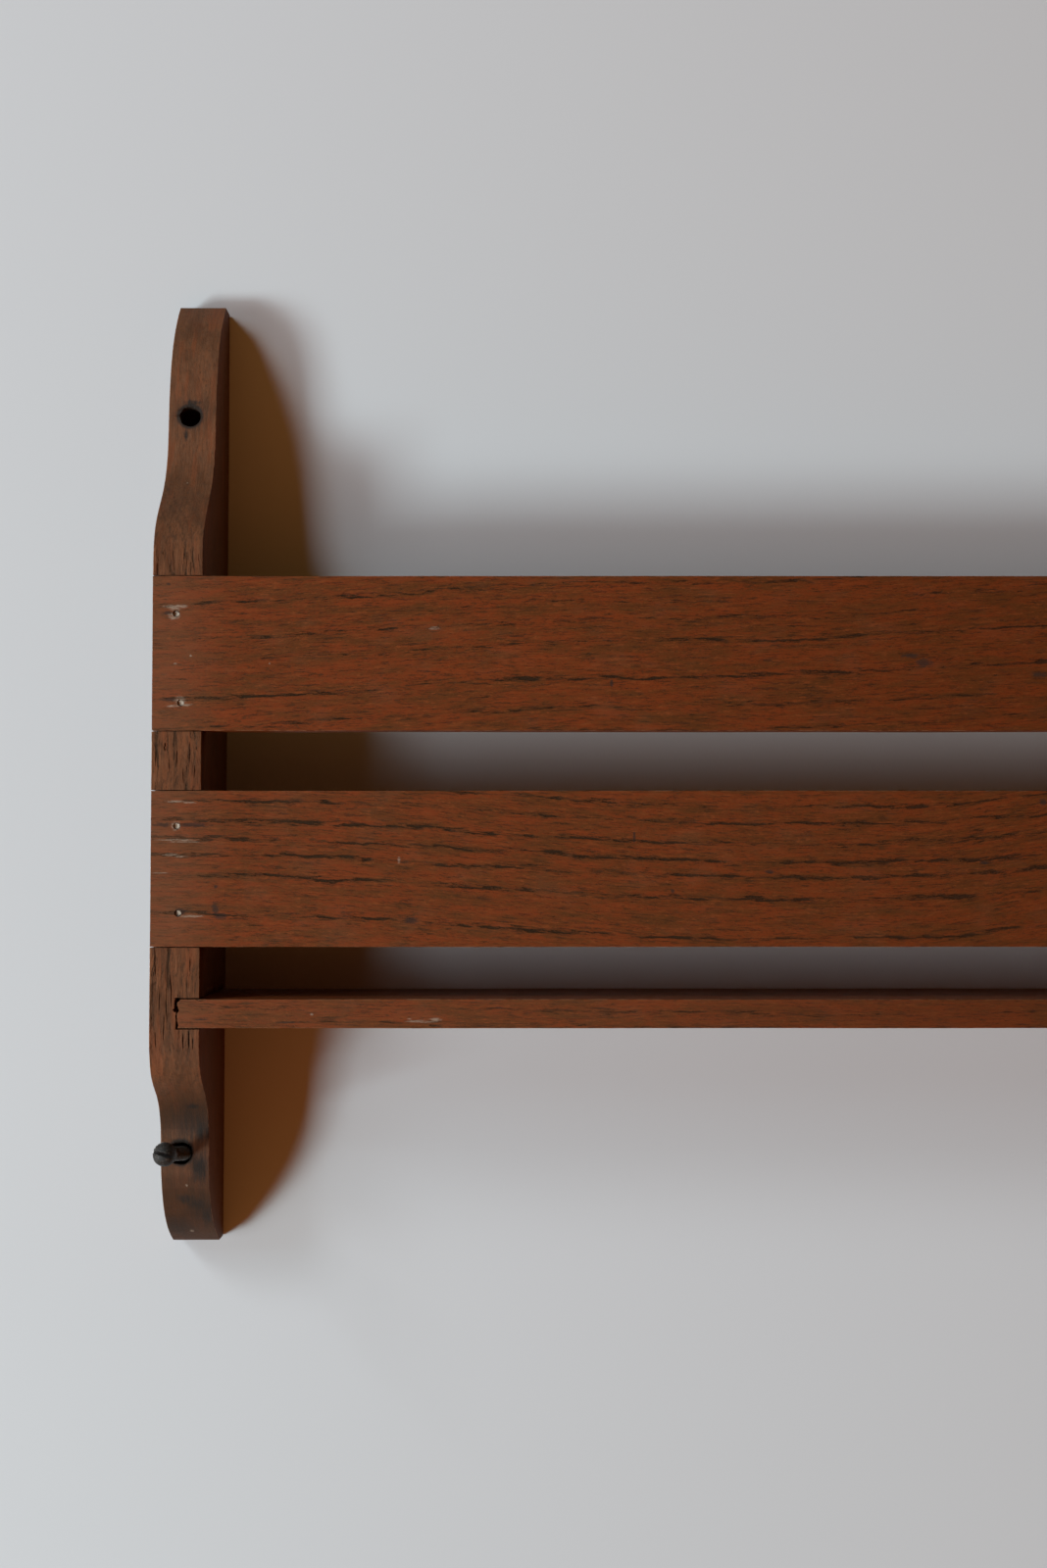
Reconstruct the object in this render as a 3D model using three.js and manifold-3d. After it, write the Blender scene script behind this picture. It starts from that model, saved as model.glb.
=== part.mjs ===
// A slatted hymnal rack that hangs on a wall or a pew back: two shaped side boards, two slats let flush
// into their front edges, a shelf housed in their inner faces, the nails, and the long round-head screws.
// Millimetres. X runs along the slats, +Z is up, and the front is at -Y. The origin is the centre of the
// back plane, Y = 0, that lies against the wall.
import * as THREE from "three";
import { mergeVertices } from "three/addons/utils/BufferGeometryUtils.js";
import Module from "manifold-3d";

const wasm = await Module();
wasm.setup();

// Overall size
const LENGTH = 610;
const HEIGHT = 377;
const DEPTH = 60;
const SIDE_THICKNESS = 19;
const GAP = 0.3; // between touching pieces

// Side board outline: depth from the wall and height above the bottom end
const NOSE_BOTTOM_DEPTH = 9;
const FOOT_DEPTH = 36;
const FOOT_HEIGHT = 43;
const LOWER_OGEE_TOP = 85;
const UPPER_OGEE_BOTTOM = 265;
const OGEE_MIDDLE_DEPTH = 47;
const NECK_DEPTH = 32.3;
const NECK_HEIGHT = 322;
const NOSE_TOP_DEPTH = 9.5;
const CURVE_STEPS = 12;

// Slats, and the height of each one's lower edge above the bottom end
const SLAT_WIDTH = 58.4;
const SLAT_THICKNESS = 9.5;
const LOWER_SLAT_HEIGHT = 119.2;
const TOP_SLAT_HEIGHT = 200.4;

// Shelf, and the housing that its ends sit in
const SHELF_THICKNESS = 11;
const SHELF_HEIGHT = 88.7;
const HOUSING_DEPTH = 8.8;

// Nails, with the heads punched a little below the wood
const NAIL_LENGTH = 32;
const NAIL_RADIUS = 0.9;
const NAIL_HEAD_RADIUS = 1.3;
const NAIL_HEAD_HEIGHT = 1;
const NAIL_POINT = 3;
const PUNCHED = 0.7;
const SHELF_NAIL_DEPTHS = { front: 46, back: 14 };

// Slat nails of one side: distance in from the outer face, and height above the bottom end
const SLAT_NAILS = {
  top_slat: { upper: [9.1, 244.6], lower: [11, 210.8] },
  lower_slat: { upper: [9.9, 164.4], lower: [10.6, 131.7] },
};

// Screw bores through each side board, from the front edge to the wall
const BORE_RADIUS = 3.95;
const TOP_BORE = { inset: 8.7, height: 326.5 };
const LOWER_BORE = { inset: 7.9, height: 38.7, slant: THREE.MathUtils.degToRad(8.3) };

// Round-head wood screws, standing out of the lower bores
const SCREW_LENGTH = 70;
const SCREW_STANDING = 36;
const SCREW_OFFSET = 0.8; // how far in from its bore's middle it lies
const SHANK_RADIUS = 2.75;
const SHANK_LENGTH = 32;
const ROOT_RADIUS = 2;
const SCREW_POINT = 9;
const HEAD_RADIUS = 4.4;
const HEAD_HEIGHT = 3.8;
const SLOT_WIDTH = 1.2;
const SLOT_DEPTH = 1.8;
const SLOT_TURN = THREE.MathUtils.degToRad(8);

const OAK = { color: 0x6b3d26, roughness: 0.62, metalness: 0 };
const SLAT_OAK = { color: 0x7a3c1e, roughness: 0.55, metalness: 0 };
const NAIL_STEEL = { color: 0x5a554f, roughness: 0.5, metalness: 0.8 };
const SCREW_STEEL = { color: 0x3f3731, roughness: 0.55, metalness: 0.85 };

const HALF_LENGTH = LENGTH / 2;
const QUARTER_TURN = Math.PI / 2;
const OVERRUN = 1; // how far a cutter passes the surface it cuts

// Booleans
function solidOf(geometry) {
  const bare = geometry.clone();
  bare.deleteAttribute("normal");
  bare.deleteAttribute("uv");
  const merged = mergeVertices(bare, 1e-4);
  const mesh = new wasm.Mesh({
    numProp: 3,
    vertProperties: merged.attributes.position.array,
    triVerts: new Uint32Array(merged.index.array),
  });
  return new wasm.Manifold(mesh);
}

function geometryOf(solid) {
  const mesh = solid.getMesh();
  const geometry = new THREE.BufferGeometry();
  geometry.setAttribute("position", new THREE.BufferAttribute(mesh.vertProperties, 3));
  geometry.setIndex(new THREE.BufferAttribute(mesh.triVerts, 1));
  const faceted = geometry.toNonIndexed();
  faceted.computeVertexNormals();
  return faceted;
}

function cut(geometry, cutters) {
  const solid = cutters.reduce((rest, cutter) => rest.subtract(solidOf(cutter)), solidOf(geometry));
  return geometryOf(solid);
}

function box(x0, x1, y0, y1, z0, z1) {
  const geometry = new THREE.BoxGeometry(Math.abs(x1 - x0), y1 - y0, z1 - z0);
  return geometry.translate((x0 + x1) / 2, (y0 + y1) / 2, (z0 + z1) / 2);
}

// A piece turned about Z: its profile runs from the top of the axis to the bottom, as [radius, height].
function turned(profile, segments) {
  const points = profile.map(([radius, height]) => new THREE.Vector2(radius, height));
  return new THREE.LatheGeometry(points.reverse(), segments).rotateX(QUARTER_TURN);
}

// Heights above the bottom end become Z in the part's frame.
const z = (height) => height - HEIGHT / 2;

// The side board's outline, drawn with -Y to the left and Z up.
function sideOutline() {
  const shape = new THREE.Shape();
  const curve = (...points) => shape.bezierCurveTo(...points.flatMap(([depth, height]) => [-depth, z(height)]));
  const line = (depth, height) => shape.lineTo(-depth, z(height));
  shape.moveTo(0, z(0));
  line(NOSE_BOTTOM_DEPTH, 0);
  curve([20, 5.5], [FOOT_DEPTH, 14], [FOOT_DEPTH, FOOT_HEIGHT]);
  curve([FOOT_DEPTH, 53], [41.2, 59.3], [OGEE_MIDDLE_DEPTH, 63.3]);
  curve([52.8, 67.3], [DEPTH - 0.5, 71.5], [DEPTH, LOWER_OGEE_TOP]);
  line(DEPTH, UPPER_OGEE_BOTTOM);
  curve([DEPTH, 277], [53.5, 283], [OGEE_MIDDLE_DEPTH, 289.8]);
  curve([40.5, 296.6], [33.5, 304], [NECK_DEPTH, NECK_HEIGHT]);
  curve([30.5, 341], [29, 359], [NOSE_TOP_DEPTH, HEIGHT]);
  line(0, HEIGHT);
  return shape;
}

// The cutter of a nail's hole, along -Z from its mouth at the origin.
function nailHole(punched) {
  const mouth = NAIL_HEAD_RADIUS + GAP;
  const shank = NAIL_RADIUS + GAP;
  const step = -(punched + NAIL_HEAD_HEIGHT + GAP);
  const end = -(punched + NAIL_LENGTH + GAP);
  return turned([[0, OVERRUN], [mouth, OVERRUN], [mouth, step], [shank, step], [shank, end], [0, end]], 12);
}

// A bore's cutter, along Y through the point given on the front edge.
function boreCutter(x, depth, height, slant) {
  const bore = new THREE.CylinderGeometry(BORE_RADIUS, BORE_RADIUS, 4 * DEPTH, 24);
  return bore.rotateX(-slant).translate(x, -depth, z(height));
}

// hand is 1 for the left side board and -1 for the right one; x runs inwards from the outer face.
function sideBoard(hand) {
  const board = new THREE.ExtrudeGeometry(sideOutline(), {
    depth: SIDE_THICKNESS,
    bevelEnabled: false,
    curveSegments: CURVE_STEPS,
  });
  const toYZ = new THREE.Matrix4().makeBasis(
    new THREE.Vector3(0, 1, 0),
    new THREE.Vector3(0, 0, 1),
    new THREE.Vector3(1, 0, 0),
  );
  board.applyMatrix4(toYZ);
  if (hand < 0) board.translate(-SIDE_THICKNESS, 0, 0);

  const cutters = [LOWER_SLAT_HEIGHT, TOP_SLAT_HEIGHT].map((bottom) =>
    box(
      -hand * OVERRUN,
      hand * (SIDE_THICKNESS + OVERRUN),
      -DEPTH - OVERRUN,
      -DEPTH + SLAT_THICKNESS + GAP,
      z(bottom - GAP),
      z(bottom + SLAT_WIDTH + GAP),
    ),
  );
  cutters.push(
    box(
      hand * (SIDE_THICKNESS - HOUSING_DEPTH),
      hand * (SIDE_THICKNESS + OVERRUN),
      -DEPTH - OVERRUN,
      OVERRUN,
      z(SHELF_HEIGHT - GAP),
      z(SHELF_HEIGHT + SHELF_THICKNESS + GAP),
    ),
    boreCutter(hand * TOP_BORE.inset, NECK_DEPTH, TOP_BORE.height, 0),
    boreCutter(hand * LOWER_BORE.inset, FOOT_DEPTH, LOWER_BORE.height, LOWER_BORE.slant),
  );
  for (const pair of Object.values(SLAT_NAILS)) {
    for (const [inset, height] of Object.values(pair)) {
      const hole = nailHole(PUNCHED).rotateX(QUARTER_TURN);
      cutters.push(hole.translate(hand * inset, -DEPTH, z(height)));
    }
  }
  for (const depth of Object.values(SHELF_NAIL_DEPTHS)) {
    const hole = nailHole(PUNCHED).rotateY(-hand * QUARTER_TURN);
    cutters.push(hole.translate(0, -depth, z(SHELF_HEIGHT + SHELF_THICKNESS / 2)));
  }
  return cut(board, cutters);
}

// A slat, centred on X with its front face at y = 0 and its lower edge at z = 0.
function slat(nails, bottom) {
  const board = box(-HALF_LENGTH, HALF_LENGTH, 0, SLAT_THICKNESS, 0, SLAT_WIDTH);
  const cutters = [];
  for (const hand of [1, -1]) {
    for (const [inset, height] of Object.values(nails)) {
      const hole = nailHole(PUNCHED).rotateX(QUARTER_TURN);
      cutters.push(hole.translate(-hand * (HALF_LENGTH - inset), 0, height - bottom));
    }
  }
  return cut(board, cutters);
}

// The shelf, centred on X with its back edge at y = 0 and its underside at z = 0.
function shelf() {
  const reach = HALF_LENGTH - (SIDE_THICKNESS - HOUSING_DEPTH + GAP);
  const board = box(-reach, reach, -DEPTH, 0, 0, SHELF_THICKNESS);
  const cutters = [];
  for (const hand of [1, -1]) {
    for (const depth of Object.values(SHELF_NAIL_DEPTHS)) {
      const hole = nailHole(PUNCHED).rotateY(-hand * QUARTER_TURN);
      cutters.push(hole.translate(-hand * HALF_LENGTH, -depth, SHELF_THICKNESS / 2));
    }
  }
  return cut(board, cutters);
}

// A wire nail along -Z, its head's top at the origin.
function nail() {
  const neck = -NAIL_HEAD_HEIGHT;
  const point = -(NAIL_LENGTH - NAIL_POINT);
  return turned(
    [[0, 0], [NAIL_HEAD_RADIUS, 0], [NAIL_HEAD_RADIUS, neck], [NAIL_RADIUS, neck], [NAIL_RADIUS, point], [0, -NAIL_LENGTH]],
    10,
  );
}

// A slotted round-head wood screw along -Z, the underside of its head at the origin.
function screw() {
  const profile = [];
  const domeSteps = 6;
  for (let i = 0; i <= domeSteps; i += 1) {
    const angle = (i / domeSteps) * QUARTER_TURN;
    profile.push([HEAD_RADIUS * Math.sin(angle), HEAD_HEIGHT * Math.cos(angle)]);
  }
  profile.push([SHANK_RADIUS, 0]);
  profile.push([SHANK_RADIUS, -SHANK_LENGTH]);
  profile.push([ROOT_RADIUS, -SHANK_LENGTH - (SHANK_RADIUS - ROOT_RADIUS)]);
  profile.push([ROOT_RADIUS, -(SCREW_LENGTH - SCREW_POINT)]);
  profile.push([0, -SCREW_LENGTH]);
  const slot = box(
    -HEAD_RADIUS - OVERRUN,
    HEAD_RADIUS + OVERRUN,
    -SLOT_WIDTH / 2,
    SLOT_WIDTH / 2,
    HEAD_HEIGHT - SLOT_DEPTH,
    HEAD_HEIGHT + OVERRUN,
  );
  return cut(turned(profile, 24), [slot]);
}

function named(name, geometry, finish) {
  const mesh = new THREE.Mesh(geometry, new THREE.MeshStandardMaterial(finish));
  mesh.name = name;
  return mesh;
}

function sideAssembly(side, hand) {
  const group = new THREE.Group();
  group.position.x = -hand * HALF_LENGTH;
  group.add(named(`${side}_side`, sideBoard(hand), OAK));

  for (const [slatName, pair] of Object.entries(SLAT_NAILS)) {
    for (const [place, [inset, height]] of Object.entries(pair)) {
      const slatNail = named(`${side}_${slatName}_${place}_nail`, nail(), NAIL_STEEL);
      slatNail.rotation.x = QUARTER_TURN;
      slatNail.position.set(hand * inset, -DEPTH + PUNCHED, z(height));
      group.add(slatNail);
    }
  }
  for (const [place, depth] of Object.entries(SHELF_NAIL_DEPTHS)) {
    const shelfNail = named(`${side}_shelf_${place}_nail`, nail(), NAIL_STEEL);
    shelfNail.rotation.y = -hand * QUARTER_TURN;
    shelfNail.position.set(hand * PUNCHED, -depth, z(SHELF_HEIGHT + SHELF_THICKNESS / 2));
    group.add(shelfNail);
  }

  const { inset, height, slant } = LOWER_BORE;
  const wallScrew = named(`${side}_wall_screw`, screw(), SCREW_STEEL);
  wallScrew.rotation.set(QUARTER_TURN - slant, 0, 0);
  wallScrew.rotateZ(SLOT_TURN);
  wallScrew.position.set(
    hand * (inset + SCREW_OFFSET),
    -FOOT_DEPTH - SCREW_STANDING * Math.cos(slant),
    z(height) + SCREW_STANDING * Math.sin(slant),
  );
  group.add(wallScrew);
  return group;
}

const rack = new THREE.Group();
rack.add(sideAssembly("left", 1), sideAssembly("right", -1));

const topSlat = named("top_slat", slat(SLAT_NAILS.top_slat, TOP_SLAT_HEIGHT), SLAT_OAK);
topSlat.position.set(0, -DEPTH, z(TOP_SLAT_HEIGHT));
const lowerSlat = named("lower_slat", slat(SLAT_NAILS.lower_slat, LOWER_SLAT_HEIGHT), SLAT_OAK);
lowerSlat.position.set(0, -DEPTH, z(LOWER_SLAT_HEIGHT));
const shelfBoard = named("shelf", shelf(), SLAT_OAK);
shelfBoard.position.set(0, 0, z(SHELF_HEIGHT));
rack.add(topSlat, lowerSlat, shelfBoard);

export default rack;
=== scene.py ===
"""A slatted oak rack for hymnals, laid out as an add-on: each piece and the stage has its own operator."""

import math
from contextlib import contextmanager

import bmesh
import bpy
from mathutils import Euler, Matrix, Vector


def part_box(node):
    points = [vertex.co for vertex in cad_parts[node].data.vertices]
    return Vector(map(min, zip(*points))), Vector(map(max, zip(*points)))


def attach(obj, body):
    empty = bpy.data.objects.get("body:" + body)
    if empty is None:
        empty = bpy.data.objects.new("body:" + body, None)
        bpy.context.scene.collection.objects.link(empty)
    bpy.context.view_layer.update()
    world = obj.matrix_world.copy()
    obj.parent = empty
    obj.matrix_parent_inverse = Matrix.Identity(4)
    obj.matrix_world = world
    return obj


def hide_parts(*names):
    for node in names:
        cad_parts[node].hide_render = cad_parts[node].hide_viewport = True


bl_info = {
    "name": "Slatted Hymnal Rack",
    "version": (1, 0, 0),
    "blender": (4, 5, 0),
    "location": "3D View > Sidebar > Rack",
    "description": "Dresses a slatted oak wall rack with worn boards, punched nails and old wall screws",
    "category": "Object",
}

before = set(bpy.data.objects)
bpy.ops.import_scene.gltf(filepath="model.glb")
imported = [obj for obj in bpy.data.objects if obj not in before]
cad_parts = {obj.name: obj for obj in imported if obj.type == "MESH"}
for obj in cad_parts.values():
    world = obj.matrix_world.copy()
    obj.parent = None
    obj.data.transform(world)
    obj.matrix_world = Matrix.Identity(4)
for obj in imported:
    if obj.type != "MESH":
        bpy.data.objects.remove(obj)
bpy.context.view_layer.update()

MM = 0.001
QUARTER_TURN = math.pi / 2
SIDES = ("left", "right")
SLATS = ("top_slat", "lower_slat")
# Points this close are welded, and places this close count as the same
WELD = 0.005 * MM
CLOSE = 0.01 * MM

# Sizes in millimetres, as in the tables below
HALF_HEIGHT = 188.5
DEPTH = 60.0
# How far a slat swells beyond its solid at its upper and its lower edge
SLAT_SWELLING = 0.2
# Size of the hand-planed waves in the side boards and in the straight boards
SIDE_WAVES = 50.0
BOARD_WAVES = 60.0
# How far the nails' heads are punched in, and how deep the widened parts of their holes and of the bores go
NAIL_SET = 0.5
NAIL_MOUTH_DEPTH = 3.0
BORE_MOUTH_DEPTH = 3.5

# The photograph's frame
PHOTO_HEIGHT = 1600
FOCAL_PIXELS = 1867
LONG_SENSOR = 36.0

# The key light is a tall, distant lamp on the left, made of panes. Each has its middle height, its length,
# its share of the power, and its colour.
KEY_AZIMUTH = 50
KEY_DISTANCE = 2.6
KEY_AIM_X = -0.2
KEY_WIDTH = 0.6
KEY_PANES = {
    "key_low": (-1.1, 0.8, 0.552, (0.85, 1.03, 1.1)),
    "key_middle": (-0.3, 0.6, 0.058, (0.94, 1.03, 1.1)),
    "key_high": (1.0, 0.8, 0.077, (0.76, 1.03, 1.2)),
    "key_highest": (1.9, 1.0, 0.314, (0.93, 1.03, 1.11)),
}
# The room's light on what the key doesn't reach: a share of the way from straight below to straight above,
# and the colour from there
FILL_COLOURS = (
    (0.2, (0.42, 0.155, 0.044)), (0.35, (0.33, 0.105, 0.027)), (0.5, (0.125, 0.022, 0.004)),
    (0.65, (0.085, 0.016, 0.002)), (0.8, (0.132, 0.09, 0.019)), (0.95, (0.145, 0.14, 0.06)),
)
# A soft sun behind the wall lights the rack's back
BACK_SUN_STRENGTH = 1.9
BACK_SUN_ANGLE = 12
BACK_SUN_DIRECTION = (0.55, -1.0, 0.08)
# The wall and the floor are this large, and the wall stands a gap in millimetres behind the rack
STAGE_SPAN = 14.0
WALL_GAP = 0.5
FLOOR_HEIGHT = -2.6
# The floor's own light is seen by the camera only, and keeps the floor pale
FLOOR_GLOW = 0.55

# Lines of open pores on the slats' faces: distance down from the upper edge at the left end, and strength
PORE_LINES = {
    "top_slat": (
        (3.0, 0.25), (11.5, 0.6), (18.5, 0.35), (25.0, 0.5), (33.5, 0.75), (47.5, 0.9), (58.0, 0.6),
        (67.0, 0.6),
    ),
    "lower_slat": (
        (-3.5, 0.8), (3.4, 0.8), (11.0, 0.9), (17.8, 0.95), (23.7, 1.0), (31.8, 1.0), (46.0, 0.9),
    ),
    "shelf": ((-6.0, 0.4), (3.0, 0.5), (9.0, 0.6), (17.0, 0.5)),
}
# The same on the side boards' front edges: distance in from the outer face
SIDE_PORE_LINES = ((2.4, 0.9), (5.6, 0.5), (8.4, 1.0), (13.0, 0.8), (15.8, 0.9), (21.0, 0.7))
# How far those lines fall over a length of the board: from, to, and by how much
LINE_FALLS = {
    "top_slat": ((-20, 190, -9.0), (210, 400, -8.0), (430, 620, 6.0)),
    "lower_slat": ((15, 235, 9.0), (275, 370, -5.5), (380, 600, 7.0)),
    "shelf": ((0, 300, 2.5), (320, 600, -3.0)),
}
# How steeply the short pores lie, as a share of the lines' fall
DASH_TILTS = {"top_slat": 0.7, "lower_slat": 1.45, "shelf": 1.2}
# Each board's own place in the noise, how much grey film it has, and how far it darkens to the right
BOARD_SEEDS = {"top_slat": 1.7, "lower_slat": 5.1, "shelf": 8.6}
BOARD_FILMS = {"top_slat": 0.0, "lower_slat": 0.03, "shelf": 0.13}
BOARD_SHADES = {"top_slat": 0.29, "lower_slat": 0.24, "shelf": 0.38}

# The wall screws, in millimetres
SCREW_AXIS = (0.0, -0.98953, 0.14436)
SCREW_LENGTH = 70.0
SCREW_HEAD_RADIUS = 4.4
SCREW_HEAD_HEIGHT = 3.8
SCREW_SLOT_WIDTH = 1.2
SCREW_SLOT_DEPTH = 1.8
SCREW_SHANK_RADIUS = 2.75
SCREW_SHANK_LENGTH = 11.0
SCREW_ROOT_RADIUS = 1.85
SCREW_TAPER_START = 61.0

# Marks on the slats' and shelf's front faces: distance from the left end, height, half width, half height
PALE_MARKS = {
    "top_slat": (
        (9.2, 247.3, 4.6, 0.6), (8.6, 246.3, 1.9, 1.0), (8.3, 243.6, 2.3, 1.3), (10.9, 211.6, 2.0, 1.9),
        (12.4, 210.0, 2.6, 0.6), (8.2, 209.6, 2.6, 0.45), (14.7, 228.6, 0.4, 0.5), (9.0, 225.6, 0.9, 0.3),
        (44.4, 225.7, 0.35, 0.3), (106.8, 239.0, 2.0, 0.6),
    ),
    "lower_slat": (
        (9.6, 173.6, 3.6, 0.4), (15.0, 173.2, 2.6, 0.3), (9.5, 164.3, 1.7, 1.7), (10.0, 159.2, 7.6, 0.3),
        (13.5, 158.5, 6.6, 0.22), (7.8, 153.6, 2.8, 0.5), (11.6, 153.0, 2.2, 0.35),
        (15.4, 130.6, 4.4, 0.45), (93.4, 151.6, 0.5, 1.4), (4.0, 146.8, 3.0, 0.2),
    ),
    "shelf": (
        (102.5, 91.4, 5.6, 0.5), (107.0, 92.0, 2.4, 0.7), (97.6, 92.3, 1.0, 0.25), (61.0, 94.0, 0.5, 0.4),
    ),
}
DARK_MARKS = {
    "top_slat": (
        (6.1, 255.7, 0.9, 0.6), (6.0, 244.8, 2.2, 0.7), (6.6, 212.0, 3.6, 0.6), (291.2, 226.0, 3.2, 1.8),
        (286.0, 228.6, 3.6, 1.0), (173.3, 218.2, 0.6, 1.6), (335.0, 221.5, 4.0, 1.0),
    ),
    "lower_slat": (
        (4.6, 164.9, 4.0, 0.7), (16.0, 164.8, 6.5, 0.9), (24.7, 141.6, 0.7, 0.8), (24.6, 133.2, 1.4, 2.6),
        (26.6, 130.6, 2.6, 1.2), (11.8, 132.4, 2.2, 1.2), (232.4, 147.2, 1.7, 0.8),
        (181.7, 160.6, 0.5, 2.2), (335.4, 173.4, 1.5, 1.2), (313.0, 150.6, 1.8, 0.6),
        (196.0, 140.0, 0.8, 0.7), (98.0, 129.0, 3.0, 1.3),
    ),
    "shelf": ((20.0, 92.0, 3.0, 0.3), (52.0, 91.0, 4.0, 0.35), (131.0, 96.5, 1.5, 0.3)),
}
# Tears at the end of the shelf's housing: distance in from the shelf's end, share of the shelf's thickness,
# half width, half height and depth
HOUSING_TEARS = (
    (-0.4, 0.8, 0.62, 2.5, 5.0), (-0.7, 0.66, 0.66, 1.3, 4.0), (-0.1, 0.45, 0.35, 1.8, 3.0),
    (0.3, 1.02, 1.6, 0.3, 3.0),
)
# Chips at the shelf's ends: distance in, share of its thickness, half width and half height
SHELF_CHIPS = ((0.0, 1.0, 1.3, 1.4), (0.0, 0.62, 0.6, 1.6), (-0.1, 0.1, 0.6, 1.6))
# The bores: distance in from the outer face, height, depth of the front edge there, mouth's radius
BORES = ((8.6, 326.7, 32.3, 4.2), (7.9, 38.7, 36.0, 4.9))
BORE_RADIUS = 3.95
# What is left of the pale filler on the slats' nail heads: distance from the left end, height, half width,
# half height
NAIL_FILLER = (
    (8.9, 244.1, 1.7, 1.3), (11.0, 211.2, 1.5, 1.5), (9.8, 164.5, 1.4, 1.4), (11.0, 132.0, 1.0, 0.9),
)
# Stains and softer shades on the side boards' front edges: distance in, height, half width and half height
# The last one, up and inward of the lower bore, is partly the lower screw's painted shadow
SIDE_STAINS_AND_SCREW_SHADOW = (
    (13.4, 57.2, 2.8, 1.3), (9.6, 20.4, 4.0, 2.3), (12.8, 18.2, 3.4, 2.8), (16.6, 13.0, 2.6, 4.6),
    (15.2, 33.0, 3.8, 6.2), (9.4, 332.4, 3.6, 1.1), (7.2, 318.8, 1.0, 2.4), (15.8, 46.4, 4.4, 4.2),
)
# Softer patches in the same way: iron stains, and the one at height 50 is painted shade where the lower
# end's curve faces down
SIDE_SOFT_STAINS_AND_SHADE = (
    (18.6, 49.0, 5.5, 9.5), (15.6, 34.6, 6.0, 7.0), (14.8, 16.4, 7.0, 9.0), (8.4, 39.6, 6.5, 7.0),
    (13.0, 50.0, 11.0, 12.5), (8.9, 327.4, 8.0, 7.6), (5.0, 8.0, 8.0, 6.0),
)
# Painted shade on the bores' walls, deep in them, in the same way
SIDE_BORE_SHADE = ((7.9, 39.0, 4.6, 4.7), (8.5, 326.8, 4.5, 4.5))
# Pale slivers beside the cracks, and specks of filler, in the same way
SIDE_SLIVERS = (
    (12.0, 84.6, 0.3, 2.8), (13.9, 86.0, 0.35, 2.4), (15.8, 84.4, 0.3, 3.0), (17.5, 87.0, 0.25, 3.4),
    (9.0, 266.0, 0.4, 5.0), (4.2, 262.0, 0.3, 4.5), (11.0, 261.5, 0.3, 3.0), (15.6, 267.5, 0.3, 3.4),
    (3.4, 190.0, 0.35, 4.0), (12.6, 189.0, 0.3, 4.2), (7.0, 100.0, 0.3, 4.6), (3.0, 106.0, 0.3, 4.0),
    (10.0, 112.0, 0.3, 3.4), (0.6, 268.6, 0.8, 1.8), (0.9, 265.6, 0.5, 1.0),
)
SIDE_SPECKS = ((9.9, 26.0, 0.5, 0.45), (9.4, 5.6, 0.8, 0.5), (9.0, 298.6, 0.45, 0.3))

# Cracks in the side boards' front edges: distance in, height, half length, half width and depth
SIDE_CRACKS = (
    (2.2, 113.6, 5.6, 0.2, 1.0), (8.2, 103.0, 6.4, 0.22, 1.2), (5.6, 89.0, 5.2, 0.18, 0.9),
    (15.2, 112.4, 3.0, 0.16, 0.8), (4.0, 100.0, 4.6, 0.16, 0.8), (6.6, 95.0, 4.4, 0.16, 0.8),
    (2.6, 84.0, 3.6, 0.16, 0.8), (9.4, 81.0, 2.6, 0.13, 0.7), (12.9, 83.6, 3.4, 0.24, 1.1),
    (15.0, 84.6, 3.4, 0.26, 1.3), (16.5, 82.6, 2.6, 0.2, 1.0), (11.2, 86.4, 2.2, 0.14, 0.8),
    (1.9, 261.0, 2.8, 0.18, 0.9), (7.8, 265.2, 4.6, 0.14, 0.8), (12.8, 265.2, 3.0, 0.12, 0.7),
    (14.5, 262.4, 2.3, 0.13, 0.7), (17.2, 266.0, 2.0, 0.12, 0.6), (2.6, 271.4, 1.2, 0.2, 0.7),
    (3.9, 267.6, 1.0, 0.18, 0.6), (5.2, 194.2, 1.8, 0.3, 0.9), (9.7, 189.6, 3.4, 0.2, 1.0),
    (14.5, 192.0, 4.2, 0.2, 1.0), (1.8, 190.0, 3.4, 0.16, 0.8), (12.2, 183.4, 3.0, 0.16, 0.8),
    (16.4, 185.0, 2.6, 0.16, 0.8), (6.9, 187.0, 2.8, 0.15, 0.8),
)
# Chips knocked off the outer arris: height, half length and depth
ARRIS_CHIPS = (
    (269.0, 1.6, 0.9), (273.6, 0.9, 0.6), (119.0, 1.0, 0.7), (200.0, 0.8, 0.6), (64.0, 1.4, 0.7),
    (341.0, 1.8, 0.7),
)


def length(name, description, default):
    """A length that can be changed in the panel."""
    return bpy.props.FloatProperty(name=name, description=description, default=default, unit="LENGTH")


def tone(name, description, default):
    """A colour that can be changed in the panel, as linear red, green and blue."""
    return bpy.props.FloatVectorProperty(
        name=name, description=description, default=default, subtype="COLOR"
    )


class RackSizes(bpy.types.PropertyGroup):
    """Sizes of the wear that the boards get, and of the fasteners' finer shapes."""

    arris: length("Arris", "Width of the boards' worn edges", 0.40 * MM)
    slice_length: length("Slice", "Size of the cells that a board is cut into", 8 * MM)
    unevenness: length("Unevenness", "Depth of the hand-planed waves", 0.3 * MM)
    hole_radius: length("Punched hole", "Radius of the hole that a nail's head sits in", 1.36 * MM)
    thread_pitch: length("Thread pitch", "Pitch of the wall screws' thread", 3.0 * MM)


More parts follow.
